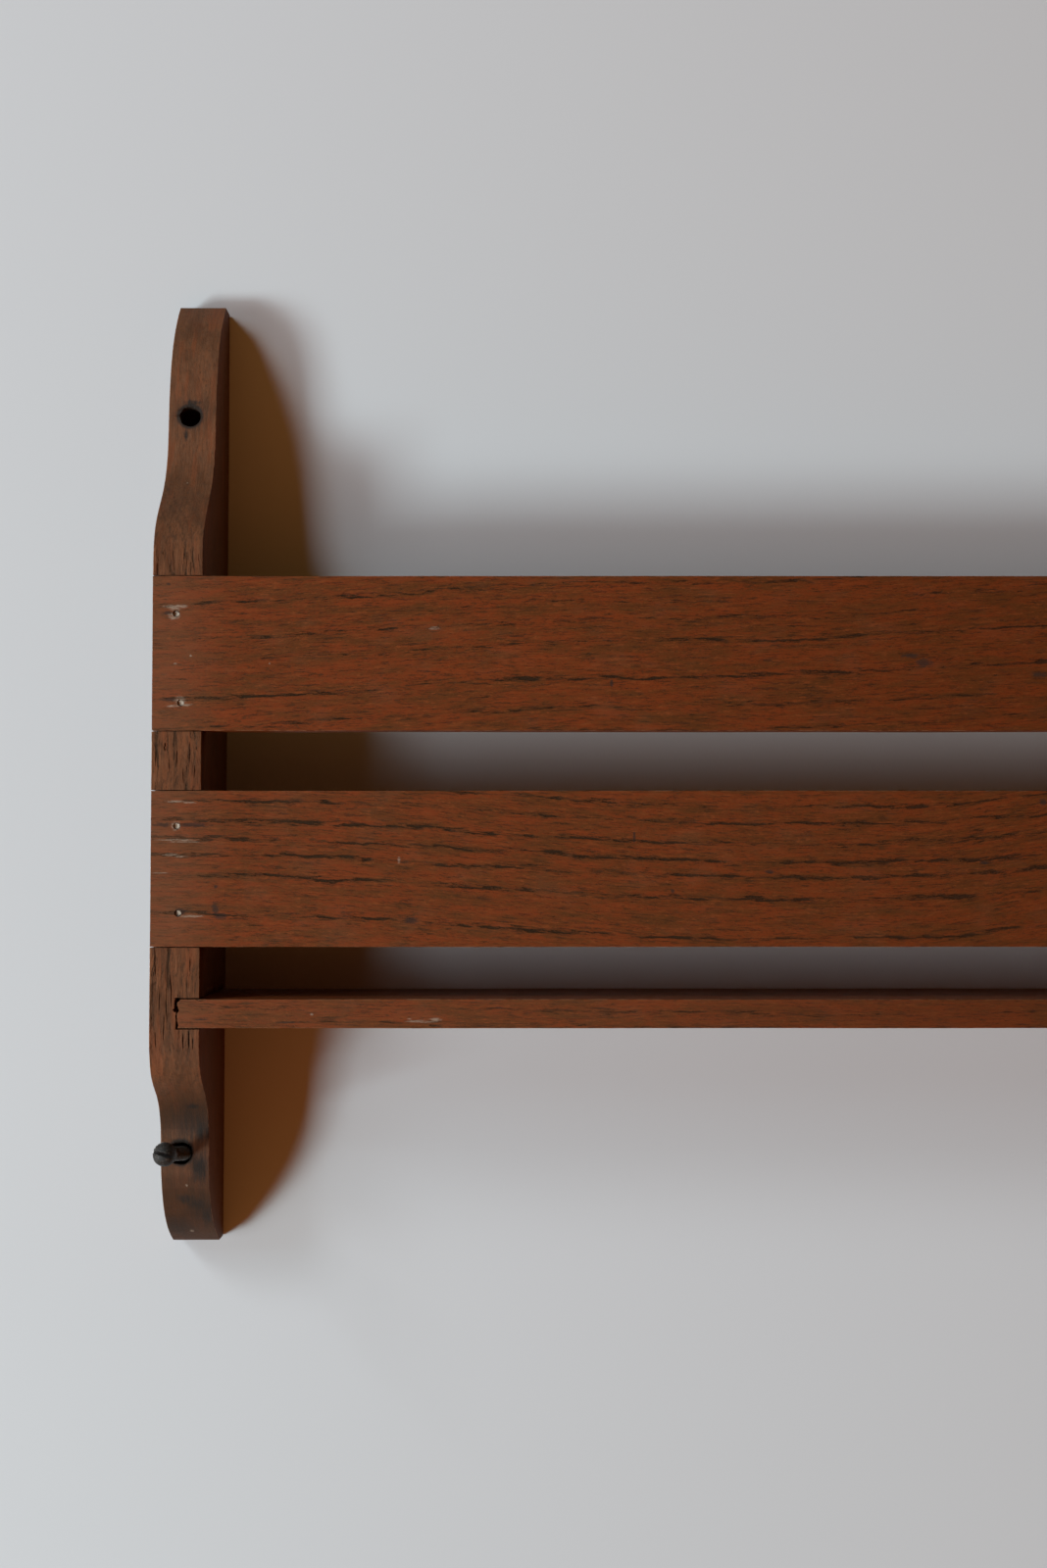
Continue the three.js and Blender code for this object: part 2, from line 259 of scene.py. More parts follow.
class RackColours(bpy.types.PropertyGroup):
    """Colours of the woods, the marks, the steels and the stage."""

    slat: tone("Slat", "Orange-red tone of the slats", (0.176, 0.0325, 0.0058))
    slat_brown: tone("Slat, brown", "Browner tone of the slats", (0.104, 0.0305, 0.0062))
    slat_deep: tone("Slat, deep", "Darkest tone of the slats", (0.0430, 0.0200, 0.0052))
    slat_pale: tone("Slat, pale", "Palest tone of the slats", (0.210, 0.0470, 0.0102))
    slat_shade: tone("Slat, shade", "Red tone the slats darken to on the right", (0.052, 0.0080, 0.0006))
    side: tone("Side", "Middle tone of the side boards", (0.184, 0.0600, 0.0210))
    side_brown: tone("Side, brown", "Browner tone of the side boards", (0.135, 0.0470, 0.0170))
    side_red: tone("Side, red", "Redder tone of the side boards", (0.215, 0.0560, 0.0180))
    side_deep: tone("Side, deep", "Darkest tone of the side boards", (0.050, 0.0215, 0.0090))
    side_pale: tone("Side, pale", "Palest tone of the side boards", (0.210, 0.0820, 0.0360))
    pore: tone("Pore", "Dirt in the open pores", (0.0225, 0.0118, 0.0046))
    grime: tone("Grime", "Grey film on handled wood", (0.185, 0.0800, 0.0400))
    weathered: tone("Weathered", "Greyer wood on the side boards' bare ends", (0.160, 0.0800, 0.0430))
    stain: tone("Stain", "Black iron stain round the screws", (0.0225, 0.0170, 0.0135))
    filler: tone("Filler", "Pale filler smeared round the nails", (0.36, 0.28, 0.205))
    arris: tone("Worn arris", "Rubbed wood on the edges", (0.33, 0.165, 0.085))
    nail: tone("Nail", "Bare steel of the nails", (0.20, 0.17, 0.14))
    nail_rust: tone("Nail, rust", "Rusty steel of the nails", (0.055, 0.034, 0.022))
    screw: tone("Screw", "Bare steel of the wall screws", (0.032, 0.0255, 0.0205))
    screw_rust: tone("Screw, rust", "Rusty steel of the wall screws", (0.010, 0.0074, 0.0055))
    wall: tone("Wall", "Plain pale wall and floor", (0.60, 0.605, 0.61))


class RackStage(bpy.types.PropertyGroup):
    """Where the camera stands, and how bright the lamps are."""

    camera_in: length("Camera along", "Camera's distance from the left end, along the slats", 0.1401)
    camera_out: length("Camera out", "Camera's distance from the wall", 0.747)
    camera_up: length("Camera up", "Camera's height above the side boards' bottom ends", 0.1502)
    camera_tilt: bpy.props.FloatProperty(
        name="Camera tilt", description="How far the camera looks up", default=math.radians(2.5),
        subtype="ANGLE",
    )
    key_watts: bpy.props.FloatProperty(
        name="Key", description="Power of the tall key lamp's panes together, in watts", default=128.0
    )


PROPERTY_GROUPS = {"rack_sizes": RackSizes, "rack_colours": RackColours, "rack_stage": RackStage}


class Value:
    """A number in a tree of nodes. Arithmetic on it adds Math nodes."""

    def __init__(self, graph, socket):
        self.graph = graph
        self.socket = socket

    def math(self, operation, *others):
        inputs = dict(enumerate((self, *others)))
        node = self.graph.node("ShaderNodeMath", {"operation": operation}, inputs)
        return Value(self.graph, node.outputs[0])

    def __add__(self, other):
        return self.math("ADD", other)

    __radd__ = __add__

    def __sub__(self, other):
        return self.math("SUBTRACT", other)

    def __rsub__(self, other):
        return (self * -1) + other

    def __mul__(self, other):
        return self.math("MULTIPLY", other)

    __rmul__ = __mul__

    def __truediv__(self, other):
        return self.math("DIVIDE", other)

    def __abs__(self):
        return self.math("ABSOLUTE")

    def larger(self, other):
        return self.math("MAXIMUM", other)

    def between(self, low, high):
        """A smooth ramp from 0 at low to 1 at high; high may be the smaller one."""
        low, high, start, end = (low, high, 0.0, 1.0) if low < high else (high, low, 1.0, 0.0)
        settings = {"interpolation_type": "SMOOTHSTEP"}
        node = self.graph.node("ShaderNodeMapRange", settings, {0: self, 1: low, 2: high, 3: start, 4: end})
        return Value(self.graph, node.outputs[0])


class Nodes:
    """A tree of nodes that grows as they are asked for."""

    def __init__(self, tree):
        self.tree = tree

    def node(self, kind, settings=None, inputs=None):
        node = self.tree.nodes.new(kind)
        for key, value in (settings or {}).items():
            setattr(node, key, value)
        for key, value in (inputs or {}).items():
            self.feed(node.inputs[key], value)
        return node

    def feed(self, socket, value):
        if isinstance(value, Value):
            value = value.socket
        if isinstance(value, bpy.types.NodeSocket):
            self.tree.links.new(value, socket)
        else:
            socket.default_value = value

    def split(self, socket):
        parts = self.node("ShaderNodeSeparateXYZ", inputs={0: socket})
        return [Value(self, output) for output in parts.outputs]

    def ramp(self, value, stops, ends):
        """A colour ramp through (place, colour) stops, with the ends' colours at 0 and at 1."""
        node = self.node("ShaderNodeValToRGB", inputs={0: value})
        elements = node.color_ramp.elements
        for place, colour in stops:
            elements.new(place).color = opaque(colour)
        elements[0].color, elements[-1].color = (opaque(colour) for colour in ends)
        return node.outputs[0]


class Graph(Nodes):
    """A material's node graph with one Principled shader."""

    def __init__(self, name):
        self.material = bpy.data.materials.new(name)
        self.material.use_nodes = True
        super().__init__(self.material.node_tree)
        self.tree.nodes.clear()
        self.output = self.node("ShaderNodeOutputMaterial")
        self.shader = self.node("ShaderNodeBsdfPrincipled")
        self.feed(self.output.inputs[0], self.shader.outputs[0])

    def finish(self, **sockets):
        for key, value in sockets.items():
            self.feed(self.shader.inputs[key.replace("_", " ").title().replace("Ior", "IOR")], value)
        return self.material

    def place(self):
        """The point on the piece in millimetres, as x, y and z values."""
        coordinates = self.node("ShaderNodeTexCoord").outputs["Object"]
        return self.split(self.vector_math("SCALE", {0: coordinates, "Scale": 1 / MM})[0])

    def facing(self):
        """The surface's direction in the piece's own axes, as x, y and z values."""
        return self.split(self.node("ShaderNodeTexCoord").outputs["Normal"])

    def vector_math(self, operation, inputs):
        return self.node("ShaderNodeVectorMath", {"operation": operation}, inputs).outputs

    def vector(self, x, y, z=0.0):
        return self.node("ShaderNodeCombineXYZ", inputs={0: x, 1: y, 2: z}).outputs[0]

    def noise(self, place, detail=2.0, roughness=0.5):
        """Noise at a place, which is given as its x, y and z."""
        inputs = {"Vector": self.vector(*place), "Scale": 1.0, "Detail": detail, "Roughness": roughness}
        return Value(self, self.node("ShaderNodeTexNoise", inputs=inputs).outputs["Fac"])

    def mix(self, factor, first, second):
        settings = {"data_type": "RGBA", "clamp_factor": True}
        inputs = {0: factor, 6: opaque(first), 7: opaque(second)}
        return self.node("ShaderNodeMix", settings, inputs).outputs[2]

    def marks(self, flat, marks, ragged, full=0.45):
        """Soft oval marks with ragged rims on flat, a vector in millimetres. Each is 1 up to full, a share
        of its size, and 0 outside."""
        total = None
        for across, up, half_width, half_height in marks:
            offset = self.vector_math("SUBTRACT", {0: flat, 1: (across, up, 0)})[0]
            share = self.vector_math("DIVIDE", {0: offset, 1: (half_width, half_height, 1)})[0]
            reach = self.vector_math("LENGTH", {0: share})["Value"]
            mark = (Value(self, reach) + ragged).between(1.30, full)
            total = mark if total is None else total.larger(mark)
        return total

    def bump(self, height):
        """The surface's direction after it is raised by a height in millimetres."""
        inputs = {"Height": height, "Distance": MM, "Strength": 1.0}
        return self.node("ShaderNodeBump", inputs=inputs).outputs["Normal"]


def opaque(colour):
    if isinstance(colour, bpy.types.NodeSocket):
        return colour
    return (*tuple(colour)[:3], 1.0)


# Making meshes by hand

def activate(piece):
    bpy.ops.object.select_all(action="DESELECT")
    piece.select_set(True)
    bpy.context.view_layer.objects.active = piece


@contextmanager
def editing(piece, mode="EDGE"):
    """Edit mode with nothing selected; gives the mesh that is being edited."""
    activate(piece)
    bpy.ops.object.mode_set(mode="EDIT")
    bpy.ops.mesh.select_mode(type=mode)
    bpy.ops.mesh.select_all(action="DESELECT")
    yield bmesh.from_edit_mesh(piece.data)
    bpy.ops.object.mode_set(mode="OBJECT")


def select(piece, elements):
    for element in elements:
        element.select_set(True)
    bmesh.update_edit_mesh(piece.data)


def settle(piece):
    """Puts a piece's place into its mesh, so that its object sits at the origin."""
    activate(piece)
    bpy.ops.object.transform_apply(location=True, rotation=True, scale=True)


def apply_modifier(piece, kind, **settings):
    modifier = piece.modifiers.new(kind.title(), kind)
    for key, value in settings.items():
        setattr(modifier, key, value)
    activate(piece)
    bpy.ops.object.modifier_apply(modifier=modifier.name)


def copy_of_node(node, name):
    """A new piece with the shape of a solid, its triangles merged into flat faces."""
    piece = bpy.data.objects.new(name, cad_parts[node].data.copy())
    bpy.context.scene.collection.objects.link(piece)
    piece.data.materials.clear()
    with editing(piece):
        bpy.ops.mesh.select_all(action="SELECT")
        bpy.ops.mesh.remove_doubles(threshold=WELD)
        bpy.ops.mesh.dissolve_limited(angle_limit=math.radians(0.4))
    return piece


def copy_of_pattern(pattern, name):
    piece = pattern.copy()
    piece.data = pattern.data.copy()
    piece.name = piece.data.name = name
    bpy.context.scene.collection.objects.link(piece)
    return piece


def straight_board(name, low, high):
    bpy.ops.object.select_all(action="DESELECT")
    bpy.ops.mesh.primitive_cube_add(size=1, location=(low + high) / 2)
    piece = bpy.context.active_object
    piece.name = piece.data.name = name
    piece.scale = high - low
    settle(piece)
    return piece


def slice_along(piece, axis, step):
    """Cuts a board across one axis, every step, so that it can be made uneven."""
    places = [v.co[axis] for v in piece.data.vertices]
    low, high = min(places), max(places)
    count = max(1, round((high - low) / step))
    normal = Vector((0, 0, 0))
    normal[axis] = 1
    with editing(piece):
        for i in range(1, count):
            point = Vector((0, 0, 0))
            point[axis] = low + (high - low) * i / count
            bpy.ops.mesh.select_all(action="SELECT")
            bpy.ops.mesh.bisect(plane_co=point, plane_no=normal)


def bevel_edges(piece, test, width, segments=4):
    with editing(piece) as mesh:
        select(piece, [edge for edge in mesh.edges if test(edge)])
        bpy.ops.mesh.bevel(
            offset=width, segments=segments, profile=0.5, affect="EDGES", clamp_overlap=False
        )


def bevel_box(piece, low, high, width):
    """Rounds the twelve outer edges of a straight board."""

    def on_two_faces(edge):
        planes = 0
        for axis in range(3):
            for end in (low[axis], high[axis]):
                planes += all(abs(v.co[axis] - end) < CLOSE for v in edge.verts)
        return planes == 2

    bevel_edges(piece, on_two_faces, width)


def make_uneven(piece, depth, size):
    """Low waves over a piece's surface, always into the material."""
    texture = bpy.data.textures.new(piece.name + "_waves", "CLOUDS")
    texture.noise_scale = size
    texture.noise_depth = 1
    settings = {"texture_coords": "LOCAL", "direction": "NORMAL", "strength": depth, "mid_level": 1.0}
    apply_modifier(piece, "DISPLACE", texture=texture, **settings)
    bpy.data.textures.remove(texture)


def smooth(piece, angle=28):
    activate(piece)
    bpy.ops.object.shade_smooth_by_angle(angle=math.radians(angle))
    apply_modifier(piece, "WEIGHTED_NORMAL", mode="FACE_AREA", keep_sharp=True)


def lens(place, half_sizes, turn=0.0, jag=0.0):
    """A cutter with pointed ends, for cracks and chips; half_sizes are along x, y and z in metres."""
    bpy.ops.object.select_all(action="DESELECT")
    bpy.ops.mesh.primitive_uv_sphere_add(segments=8, ring_count=16, radius=1, location=(0, 0, 0))
    cutter = bpy.context.active_object
    phase = place[0] * 3100 + place[2] * 900
    with editing(cutter, "VERT") as mesh:
        for vertex in mesh.verts:
            wander = math.sin(vertex.co.z * 2.6 + phase) + 0.5 * math.sin(vertex.co.z * 6.1 + phase * 1.7)
            pinch = 1 + 0.18 * math.sin(vertex.co.z * 5.3 + phase * 2.3)
            vertex.co.x = vertex.co.x * pinch + jag * wander * (1 - vertex.co.z ** 2)
    cutter.scale = half_sizes
    cutter.rotation_euler = (0, turn, 0)
    cutter.location = place
    settle(cutter)
    return cutter


def apart(first, second):
    """True where the boxes of two pieces keep clear of each other."""
    for axis in range(3):
        lows, highs = zip(*[
            (min(v.co[axis] for v in piece.data.vertices), max(v.co[axis] for v in piece.data.vertices))
            for piece in (first, second)
        ])
        if max(lows) > min(highs):
            return True
    return False


def carve(piece, cutters):
    """Cuts the cutters out of a piece and removes them. Cutters that keep apart are used together."""
    batches = []
    for cutter in cutters:
        for batch in batches:
            if all(apart(cutter, other) for other in batch):
                batch.append(cutter)
                break
        else:
            batches.append([cutter])
    for joined, *others in batches:
        activate(joined)
        for other in others:
            other.select_set(True)
        if others:
            bpy.ops.object.join()
        apply_modifier(piece, "BOOLEAN", operation="DIFFERENCE", solver="EXACT", object=joined)
        remove(joined)
    with editing(piece):
        bpy.ops.mesh.select_all(action="SELECT")
        bpy.ops.mesh.remove_doubles(threshold=WELD)


def remove(piece):
    mesh = piece.data
    bpy.data.objects.remove(piece)
    bpy.data.meshes.remove(mesh)


def turned(name, rings, segments=32):
    """A lathed solid along Z through rings, each a height and a radius, from the top down."""
    bpy.ops.object.select_all(action="DESELECT")
    height, radius = rings[0]
    bpy.ops.mesh.primitive_circle_add(
        vertices=segments, radius=radius, fill_type="NGON", location=(0, 0, height)
    )
    piece = bpy.context.active_object
    piece.name = piece.data.name = name
    settle(piece)
    with editing(piece, "FACE"):
        bpy.ops.mesh.select_all(action="SELECT")
        for next_height, next_radius in rings[1:]:
            bpy.ops.mesh.extrude_region_move(TRANSFORM_OT_translate={"value": (0, 0, next_height - height)})
            grow = next_radius / radius
            bpy.ops.transform.resize(value=(grow, grow, 1), center_override=(0, 0, next_height))
            height, radius = next_height, next_radius
        bpy.ops.mesh.select_all(action="SELECT")
        bpy.ops.mesh.normals_make_consistent(inside=False)
    return piece


def mouth(place, axis, inner, outer, depth):
    """The cutter of a hole's uneven mouth at place: its radius is outer there, and inner at the depth.
    The axis points out of the wood."""
    bpy.ops.object.select_all(action="DESELECT")
    bpy.ops.mesh.primitive_cone_add(
        vertices=26, radius1=inner, radius2=2 * outer - inner, depth=2 * depth, location=place,
        rotation=axis.to_track_quat("Z", "Y").to_euler(),
    )
    cutter = bpy.context.active_object
    settle(cutter)
    with editing(cutter, "VERT") as mesh:
        for i, vertex in enumerate(mesh.verts):
            out = vertex.co - place
            out -= axis * out.dot(axis)
            vertex.co += out * 0.05 * math.sin(i * 2.3 + place.z * 700)
    return cutter


def dress(piece, body, material, slot, *nodes):
    piece.data.materials.clear()
    piece.data.materials.append(material)
    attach(piece, body)
    if nodes:
        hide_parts(*nodes)


def sizes():
    return bpy.context.scene.rack_sizes


def colours():
    return bpy.context.scene.rack_colours


def nail_places(holder):
    """Gives each nail whose head sits in a board: its node's name, and its head's middle and facing."""
    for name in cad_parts:
        if not name.endswith("_nail"):
            continue
        in_slat = [slat for slat in SLATS if slat in name]
        if (in_slat[0] if in_slat else name.split("_")[0] + "_side") != holder:
            continue
        low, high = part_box(name)
        middle = (low + high) / 2
        if in_slat:
            yield name, Vector((middle.x, low.y, middle.z)), Vector((0, -1, 0))
        else:
            out = Vector((-1 if name.startswith("left") else 1, 0, 0))
            yield name, Vector((low.x if out.x < 0 else high.x, middle.y, middle.z)), out


# Wood

# Colours of each wood: its middle, brown, deep and pale tones
WOOD_TONES = {
    "slat": ("slat", "slat_brown", "slat_deep", "slat_pale"),
    "side": ("side", "side_brown", "side_deep", "side_pale"),
}
WOOD_SPECULAR = 0.11
BLACK = (0.0, 0.0, 0.0)
# The stretch across a board in which lines of pores can lie, and a line's half width, in millimetres
LINE_SPAN = (-20.0, 80.0)
LINE_HALF_WIDTH = 1.3
# How strongly a line gathers the pores
LINE_PULL = 0.31


def wood(graph, along, across, behind, tones, lines, fall, dash_tilt, open_pores, seed):
    """Ring-porous wood. Its dark open pores lie in rows, which follow lines set across the board and fall
    along it; behind is the depth under the face. Returns colour, roughness and height in millimetres."""
    plain, brown, deep, pale = (getattr(colours(), name) for name in WOOD_TONES[tones])

    # The lines wander across the board, and are fainter in places
    drift = graph.noise((along * 0.03, across * 0.10, behind * 0.10 + seed), 2.0)
    ripple = graph.noise((along * 0.17, across * 0.4, behind * 0.3 - seed), 2.0)
    ring = across + (drift - 0.5) * 4.5 + (ripple - 0.5) * 1.6 + behind * 0.8 - fall
    low, high = LINE_SPAN
    stops = []
    for place, strength in lines:
        for offset, share in ((-LINE_HALF_WIDTH, 0.0), (0.0, 1.0), (LINE_HALF_WIDTH, 0.0)):
            stops.append(((place + offset - low) / (high - low), [strength * share] * 3))
    rows = Value(graph, graph.ramp((ring - low) / (high - low), stops, (BLACK, BLACK)))
    presence = graph.noise((along * 0.024, across * 0.12, behind * 0.1 + seed * 2), 2.0)
    rows = rows * (presence.between(0.34, 0.54) * 0.7 + 0.3)

    # Dark dashes, each in a softer halo, and finer flecks
    grain = across - fall * dash_tilt
    jitter = (graph.noise((along * 0.5, across * 0.9, behind * 0.9), 3.0, 0.65) - 0.5) * 1.1
    wavy = grain + jitter
    dashes = graph.noise((along * 0.13, wavy * 1.15, behind * 1.15 + seed), 3.0, 0.6)
    dashes = dashes + rows * LINE_PULL
    dash = dashes.between(0.700, 0.800) * open_pores
    halo = dashes.between(0.560, 0.740)
    flecks = graph.noise((along * 0.14, wavy * 1.9, behind * 1.9 - seed), 3.0, 0.6)
    fleck = (flecks + rows * 0.12).between(0.565, 0.690) * open_pores
    fine = graph.noise((along * 0.7, grain * 2.4, behind * 2.4 + seed), 3.0, 0.65)

    # The tones of the wood, from broad patches to single fibres
    fibre = graph.noise((along * 0.10, grain * 1.1, behind * 1.1 + seed), 5.0, 0.68)
    mottle = graph.noise((along * 0.42, grain * 0.95, behind * 0.95 - seed), 3.0, 0.6)
    patch = graph.noise((along * 0.05, ring * 0.26, behind * 0.26 - seed), 3.0, 0.6)
    colour = graph.mix((patch * 0.4 + fibre * 0.3 + mottle * 0.3).between(0.43, 0.57), plain, brown)
    streak = fibre * 0.5 + mottle * 0.3 + fine * 0.2
    colour = graph.mix(streak.between(0.50, 0.39) * 0.75, colour, deep)
    colour = graph.mix(streak.between(0.51, 0.61) * 0.80, colour, pale)
    colour = graph.mix(halo * 0.60, colour, deep)
    colour = graph.mix(fleck * 0.60, colour, colours().pore)
    colour = graph.mix(dash * 0.92, colour, colours().pore)

    roughness = 0.60 + dash * 0.2 + (fibre - 0.5) * 0.25
    height = dash * -0.26 - fleck * 0.08 + (fibre + fine - 1) * 0.10
    return colour, roughness, height


def worn_edges(graph, colour, edge, seed):
    """Rubs the film off the arrises, in patches."""
    x, y, z = graph.place()
    patchy = graph.noise((x * 0.25, y * 0.25, z * 0.25 + seed), 3.0, 0.65)
    return graph.mix(edge * patchy.between(0.42, 0.58) * 0.8, colour, colours().arris)


def face_board_wood(node):
    """The material of a slat or of the shelf, seen on its front face."""
    graph = Graph(f"{node}_wood")
    x, y, z = graph.place()
    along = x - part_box("left_side")[0].x / MM
    down = (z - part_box(node)[1].z / MM) * -1
    fall = sum(along.between(start, stop) * drop for start, stop, drop in LINE_FALLS[node])
    seed = BOARD_SEEDS[node]
    lines, tilt = PORE_LINES[node], DASH_TILTS[node]
    colour, roughness, height = wood(graph, along, down, y + DEPTH, "slat", lines, fall, tilt, 1.0, seed)
    front = y.between(-DEPTH + 1.4, -DEPTH + 0.8)

    # A grey film on the handled wood, and a redder shade on the right
    scuffed = graph.noise((along * 0.05, z * 0.09, seed * 3), 3.0, 0.6)
    film = along.between(34, 2) * 0.30 + scuffed.between(0.52, 0.70) * 0.10 + BOARD_FILMS[node]
    film = film * front
    colour = graph.mix(film, colour, colours().grime)
    shaded = along.between(110, 340) * BOARD_SHADES[node] * front
    colour = graph.mix(shaded, colour, colours().slat_shade)

    # Stains, and filler that is left in streaks
    flat = graph.vector(along, z + HALF_HEIGHT)
    ragged = (graph.noise((along * 0.45, z * 1.3, seed), 3.0, 0.7) - 0.5) * 1.9
    dark = graph.marks(flat, DARK_MARKS[node], ragged) * front
    colour = graph.mix(dark * 0.72, colour, colours().stain)
    streaks = graph.noise((along * 0.35, z * 4.5, seed), 2.0, 0.6).between(0.38, 0.56)
    pale = graph.marks(flat, PALE_MARKS[node], ragged) * (streaks * 0.70 + 0.12) * front
    colour = graph.mix(pale * 0.8, colour, colours().filler)

    facing = [abs(part) for part in graph.facing()]
    square = facing[0].larger(facing[1]).larger(facing[2])
    colour = worn_edges(graph, colour, square.between(0.985, 0.90), seed)
    normal = graph.bump(height + pale * 0.08)
    return graph.finish(
        base_color=colour, roughness=roughness, specular_ior_level=WOOD_SPECULAR, normal=normal
    )


def side_wood(side):
    """The material of a side board. Its front edge is weathered, with painted shade where the lower end's
    curve faces down.
    """
    graph = Graph(f"{side}_side_wood")
    x, y, z = graph.place()
    low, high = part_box(f"{side}_side")
    across = x - low.x / MM if side == "left" else (x - high.x / MM) * -1
    height_up = z + HALF_HEIGHT
    seed = 3.3 if side == "left" else 11.4
    nx, ny, nz = graph.facing()
    sway = (graph.noise((height_up * 0.02, across * 0.02, seed), 1.0) - 0.5) * 5
    straight_part = abs(height_up - 175).between(108, 90)
    open_pores = (straight_part * 0.6 + 0.4) * (1 - abs(nz).between(0.05, 0.30) * 0.9)
    colour, roughness, height = wood(
        graph, height_up, across, y + DEPTH, "side", SIDE_PORE_LINES, sway, 1.5, open_pores, seed
    )
    front = (ny * -1).between(0.25, 0.6)

    # Greyer towards both ends, and painted shade where the lower end's curve faces down
    mottle = graph.noise((across * 0.5, y * 0.5, z * 0.25 + seed), 4.0, 0.65)
    weathered = abs(height_up - 180).between(70, 130) * 0.30 + 0.10
    weathered = front * weathered * (mottle.between(0.35, 0.65) * 0.7 + 0.5)
    colour = graph.mix(weathered, colour, colours().weathered)
    painted_shade_facing_down = (nz * -1).between(0.05, 0.35) * height_up.between(72, 54)
    colour = graph.mix(painted_shade_facing_down * (mottle * 0.4 + 0.66), colour, colours().side_deep)

    # Red and dark patches, and painted shade on the inner face
    streaky = graph.noise((across * 1.6, z * 0.10, seed), 3.0, 0.65).between(0.35, 0.65)
    reddish = graph.noise((across * 0.28, z * 0.035, (y + DEPTH) * 0.1 + seed * 4), 3.0, 0.6)
    reddish = reddish.between(0.48, 0.66) * (height_up.between(52, 80) * 0.4 + 0.1)
    colour = graph.mix(reddish, colour, colours().side_red)
    colour = graph.mix(streaky * front * 0.30, colour, colours().side_deep)
    soiled = graph.noise((across * 0.14, z * 0.06, seed * 2), 3.0, 0.6).between(0.42, 0.66)
    colour = graph.mix(soiled * front * 0.40, colour, colours().side_deep)
    # Painted shade on the boards' inner faces
    inner_face_shade = (nx if side == "left" else nx * -1).between(0.6, 0.9)
    colour = graph.mix(inner_face_shade * 0.28, colour, colours().side_deep)

    # Iron stains, mostly round the bores, a darker lower end, and painted shade and shadow
    flat = graph.vector(across, height_up)
    ragged = (graph.noise((across * 0.7, z * 0.22, seed), 4.0, 0.7) - 0.5) * 1.7
    # Soft iron stains, and painted shade on the lower end's curve
    shade = graph.marks(flat, SIDE_SOFT_STAINS_AND_SHADE, ragged * 0.5, 0.0)
    colour = graph.mix(shade * front * (0.42 + streaky * 0.32), colour, colours().stain)
    colour = graph.mix(height_up.between(64, 48) * front * 0.16, colour, colours().stain)
    # Iron stains, and partly the lower screw's painted shadow
    stain = graph.marks(flat, SIDE_STAINS_AND_SCREW_SHADOW, ragged, 0.2)
    colour = graph.mix(stain * front * (0.64 + streaky * 0.35), colour, colours().stain)
    # Painted shade deep in the bores
    ring = graph.marks(flat, SIDE_BORE_SHADE, ragged * 0.12, 1.0) * y.between(-16, -24)
    colour = graph.mix(ring * 0.92, colour, colours().stain)

    # Pale slivers, specks and rubbed arrises
    crumbly = (graph.noise((across * 2.4, z * 2.4, seed), 2.0, 0.6) - 0.5) * 2.6
    slivers = graph.marks(flat, SIDE_SLIVERS, crumbly * 0.5) * front
    colour = graph.mix(slivers * 0.5, colour, colours().side_pale)
    specks = graph.marks(flat, SIDE_SPECKS, crumbly) * front
    colour = graph.mix(specks * 0.45, colour, colours().filler)
    edge = abs(nx).between(0.18, 0.45) * abs(nx).between(0.985, 0.9) * abs(across - 9.5).between(8.2, 8.9)
    colour = worn_edges(graph, colour, edge, seed)
    return graph.finish(
        base_color=colour, roughness=roughness, specular_ior_level=WOOD_SPECULAR,
        normal=graph.bump(height),
    )


# How much brighter than the rest scraped steel is
SCRAPED_BRIGHTNESS = 3.5


def old_steel(name, bright, rust, seed, filler_marks=()):
    """The material of old steel: rusty in patches, scraped here and there, with traces of filler."""
    graph = Graph(name)
    x, y, z = graph.place()
    mottled = graph.noise((x * 1.1, y * 0.8, z * 1.1 + seed), 4.0, 0.65)
    patches = graph.noise((x * 0.30 + seed, y * 0.22, z * 0.30), 3.0, 0.6)
    rusty = (patches * 0.6 + mottled * 0.4).between(0.42, 0.56)
    colour = graph.mix(rusty, bright, rust)
    scraped = graph.noise((x * 1.5, y * 1.5, z * 1.5 - seed), 3.0, 0.7).between(0.56, 0.66)
    colour = graph.mix(scraped * 0.7, colour, [part * SCRAPED_BRIGHTNESS for part in bright])
    metallic = 0.8 - rusty * 0.7
    if filler_marks:
        flat = graph.vector(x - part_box("left_side")[0].x / MM, z + HALF_HEIGHT)
        ragged = (graph.noise((x * 1.6, z * 1.6, seed), 3.0, 0.7) - 0.5) * 1.2
        filled = graph.marks(flat, filler_marks, ragged)
        colour = graph.mix(filled * 0.9, colour, colours().filler)
        metallic = metallic * (1 - filled)
    height = mottled * 0.10 + rusty * 0.05
    return graph.finish(
        base_color=colour, metallic=metallic, roughness=0.36 + rusty * 0.34, normal=graph.bump(height)
    )


# Pieces

